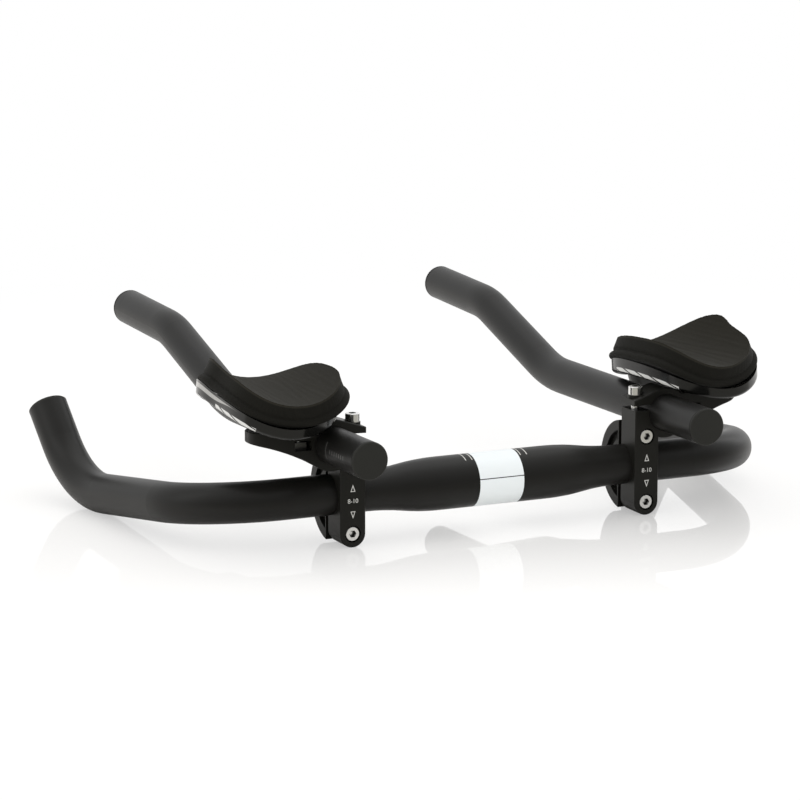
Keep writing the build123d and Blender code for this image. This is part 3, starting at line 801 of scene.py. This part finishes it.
@dataclass
class PlateMarks:
    """Plain triangles and numbers printed on the rider's face of the clamps."""

    x: float = 96.6 * MM
    face_y: float = -16.0 * MM
    thickness: float = 0.05 * MM
    merge: float = 0.001 * MM
    width: float = 3.1 * MM
    height: float = 4.35 * MM
    stroke: float = 0.42 * MM
    up_z: float = 6.35 * MM
    down_z: float = -9.65 * MM
    number_z: float = -1.45 * MM
    number_size: float = 3.7 * MM
    number: str = "8-10"

    def triangle(self, name: str, x: float, z: float, way: int) -> bpy.types.Object:
        """A hollow triangle on the face.

        Args:
            name: the piece's name.
            x: its middle across the bar.
            z: its middle height.
            way: 1 if it points up, -1 if down.

        Returns:
            The triangle, with a thickness.
        """
        bpy.ops.object.select_all(action="DESELECT")
        bpy.ops.mesh.primitive_circle_add(vertices=3, radius=1, fill_type="NGON")
        mark = bpy.context.active_object
        mark.name = name
        low = min(v.co.y for v in mark.data.vertices)
        high = max(v.co.y for v in mark.data.vertices)
        span = max(v.co.x for v in mark.data.vertices) * 2
        bpy.ops.object.mode_set(mode="EDIT")
        bpy.ops.mesh.select_all(action="SELECT")
        bpy.ops.transform.translate(value=(0, -(low + high) / 2, 0))
        bpy.ops.transform.resize(value=(self.width / span, way * self.height / (high - low), 1),
                                 center_override=(0, 0, 0))
        bpy.ops.mesh.inset(thickness=self.stroke)
        bpy.ops.mesh.delete(type="FACE")
        bpy.ops.object.mode_set(mode="OBJECT")
        self.place(mark, x, z)
        return mark

    def figures(self, name: str, x: float, z: float) -> bpy.types.Object:
        """Plain numbers on the face.

        Args:
            name: the piece's name.
            x: their middle across the bar.
            z: their middle height.

        Returns:
            The numbers as one mesh.
        """
        bpy.ops.object.select_all(action="DESELECT")
        bpy.ops.object.text_add()
        mark = bpy.context.active_object
        mark.data.body = self.number
        mark.data.size = self.number_size
        mark.data.align_x = "CENTER"
        mark.data.align_y = "CENTER"
        bpy.ops.object.convert(target="MESH")
        mark.name = name
        self.place(mark, x, z)
        return mark

    def place(self, mark: bpy.types.Object, x: float, z: float) -> None:
        """Stands a flat mark up on the face and gives it its thickness."""
        Bench.pick(mark)
        mark.location = (x, self.face_y, z)
        mark.rotation_euler = (math.pi / 2, 0, 0)
        bpy.ops.object.transform_apply(location=True, rotation=True, scale=True)
        bpy.ops.object.mode_set(mode="EDIT")
        bpy.ops.mesh.select_all(action="SELECT")
        bpy.ops.mesh.remove_doubles(threshold=self.merge)
        bpy.ops.mesh.normals_make_consistent(inside=False)
        bpy.ops.object.mode_set(mode="OBJECT")
        Bench.apply(mark, "SOLIDIFY", thickness=self.thickness, offset=0)

    def build(self) -> None:
        """Prints both clamps."""
        for side in Side:
            x = side.value * self.x
            marks = (
                self.triangle(f"mark_up_{side.word}", x, self.up_z, 1),
                self.triangle(f"mark_down_{side.word}", x, self.down_z, -1),
                self.figures(f"mark_number_{side.word}", x, self.number_z),
            )
            for mark in marks:
                Bench.finish(mark, Coat.INK, "film_white")


@dataclass(frozen=True)
class Lamp:
    """A soft rectangular lamp: where it hangs, its width and height, and its power."""

    name: str
    place: tuple[float, float, float]
    size: Span
    watts: float

    def hang(self, aim: Vector) -> None:
        """Hangs the lamp so that it faces a point."""
        bpy.ops.object.select_all(action="DESELECT")
        bpy.ops.object.light_add(type="AREA", location=self.place)
        made = bpy.context.active_object
        made.name = self.name
        made.data.shape = "RECTANGLE"
        made.data.size, made.data.size_y = self.size
        made.data.energy = self.watts
        made.rotation_euler = (aim - Vector(self.place)).to_track_quat("-Z", "Y").to_euler()


@dataclass
class Studio:
    """Pale floor, soft light and the camera."""

    floor_z: float = -29.05 * MM
    floor_half: float = 9.0
    floor_colour: Colour = (1.0, 0.98, 0.95)
    floor_gloss: Span = (0.14, 0.34)
    gloss_run: Span = (-0.22, -0.06)
    floor_polish: float = 0.015
    polish_run: Span = (-0.225, 0.08)
    matt_run: Span = (0.45, 0.8)
    floor_white: Span = (0.6, 1.0)
    white_run: Span = (0.3, 0.9)
    dim_colour: Colour = (0.42, 0.41, 0.37)
    dim_run: Span = (-0.11, -0.02)
    near_side: float = 0.30
    room_tilt: float = 0.8
    room_run: Span = (-0.9, 0.5)
    lamps: tuple[Lamp, ...] = (
        Lamp("top_soft", (0.15, 0.35, 1.5), (1.6, 1.2), 4.0),
        Lamp("left_strip", (-1.3, 0.2, 0.9), (0.4, 1.2), 2.0),
        Lamp("right_strip", (1.4, 0.5, 0.8), (0.4, 1.2), 2.0),
    )
    aim: tuple[float, float, float] = (0.0, 0.1, 0.0)
    azimuth: float = math.radians(-24.854)
    elevation: float = math.radians(11.674)
    distance: float = 2.080392
    focal_pixels: float = 3565.319
    sensor: float = 36.0
    sight: float = 50.0
    target: tuple[float, float, float] = (-59.233 * MM, 0.0, 52.147 * MM)

    def camera(self) -> None:
        """Sets the camera at the photograph's angle."""
        a, e = self.azimuth, self.elevation
        back = Vector((math.sin(a) * math.cos(e), -math.cos(a) * math.cos(e), math.sin(e)))
        right = Vector((math.cos(a), math.sin(a), 0))
        up = back.cross(right)
        bpy.ops.object.select_all(action="DESELECT")
        bpy.ops.object.camera_add()
        made = bpy.context.active_object
        made.data.sensor_width = self.sensor
        made.data.lens = self.focal_pixels * self.sensor / IMAGE_SIDE
        made.data.clip_end = self.sight
        turn = Matrix((right, up, back)).transposed().to_4x4()
        made.matrix_world = Matrix.Translation(Vector(self.target) + back * self.distance) @ turn
        bpy.context.scene.camera = made

    def floor(self) -> None:
        """Lays a pale polished floor that keeps the shadow."""
        bpy.ops.object.select_all(action="DESELECT")
        bpy.ops.mesh.primitive_plane_add(size=2 * self.floor_half, location=(0, 0, self.floor_z))
        made = bpy.context.active_object
        made.name = "studio_floor"
        paint = bpy.data.materials.new("floor_pale")
        paint.use_nodes = True
        graph = Graph(paint.node_tree)
        path = graph.node("ShaderNodeLightPath")
        place = graph.out(graph.node("ShaderNodeTexCoord"), "Object")
        side, ahead, _ = graph.parts(place)
        away = graph.out(graph.node("ShaderNodeVectorMath", {"operation": "LENGTH"}, {0: place}), 1)
        white_share = graph.spread(graph.step(away, *self.white_run), *self.floor_white)
        shown = graph.out(path, "Is Camera Ray") * white_share
        dim = graph.out(path, "Is Glossy Ray") * (1 - graph.step(ahead, *self.dim_run))
        pale = graph.node("ShaderNodeBsdfDiffuse", {}, {"Color": (*self.floor_colour, 1)})
        dull = graph.node("ShaderNodeBsdfDiffuse", {}, {"Color": (*self.dim_colour, 1)})
        white = graph.node("ShaderNodeEmission", {}, {"Color": (1, 1, 1, 1)})
        lit = graph.choice(shown, graph.choice(dim, pale, dull), white)
        polish = graph.node("ShaderNodeBsdfGlossy", {}, {"Color": (1, 1, 1, 1), "Roughness": self.floor_polish})
        depth = graph.along(place, Vector((-math.sin(self.azimuth), math.cos(self.azimuth), 0)))
        gloss = graph.spread(graph.step(side, *self.gloss_run), *self.floor_gloss)
        share = graph.step(depth, *self.polish_run) * (1 - graph.step(away, *self.matt_run)) * gloss
        whole = graph.choice(share, lit, polish)
        graph.node("ShaderNodeOutputMaterial", {}, {"Surface": graph.out(whole)})
        made.data.materials.append(paint)

    def world(self) -> None:
        """Surrounds the object with white, dimmer on the photographer's side."""
        made = bpy.data.worlds.new("studio")
        made.use_nodes = True
        graph = Graph(made.node_tree)
        path = graph.node("ShaderNodeLightPath")
        camera = graph.out(path, "Is Camera Ray")
        glossy, through = graph.out(path, "Is Glossy Ray"), graph.out(path, "Is Transmission Ray")
        mirrored = graph.math("MAXIMUM", glossy, through)
        _, y, z = graph.parts(graph.out(graph.node("ShaderNodeTexCoord"), "Generated"))
        far = graph.step(y + z * self.room_tilt, *self.room_run)
        room = graph.spread(far, self.near_side, 1.0)
        strength = camera + (1 - camera) * (mirrored * room + (1 - mirrored))
        light = graph.node("ShaderNodeBackground", {}, {"Color": (1, 1, 1, 1), "Strength": strength})
        graph.node("ShaderNodeOutputWorld", {}, {"Surface": graph.out(light)})
        made.cycles.sampling_method = "NONE"
        bpy.context.scene.world = made

    def build(self) -> None:
        """Sets up camera, floor, world and lamps."""
        self.camera()
        self.floor()
        self.world()
        for lamp in self.lamps:
            lamp.hang(Vector(self.aim))
        bpy.context.scene.view_settings.view_transform = "Standard"


def main() -> None:
    """Builds the studio, dresses the handlebar and adds its soft and printed pieces."""
    logging.basicConfig(level=logging.INFO, format="%(name)s: %(message)s")
    Studio().build()
    Bar().dress()
    ArmrestPad().build()
    PlateMarks().build()


if __name__ == "__main__":
    main()
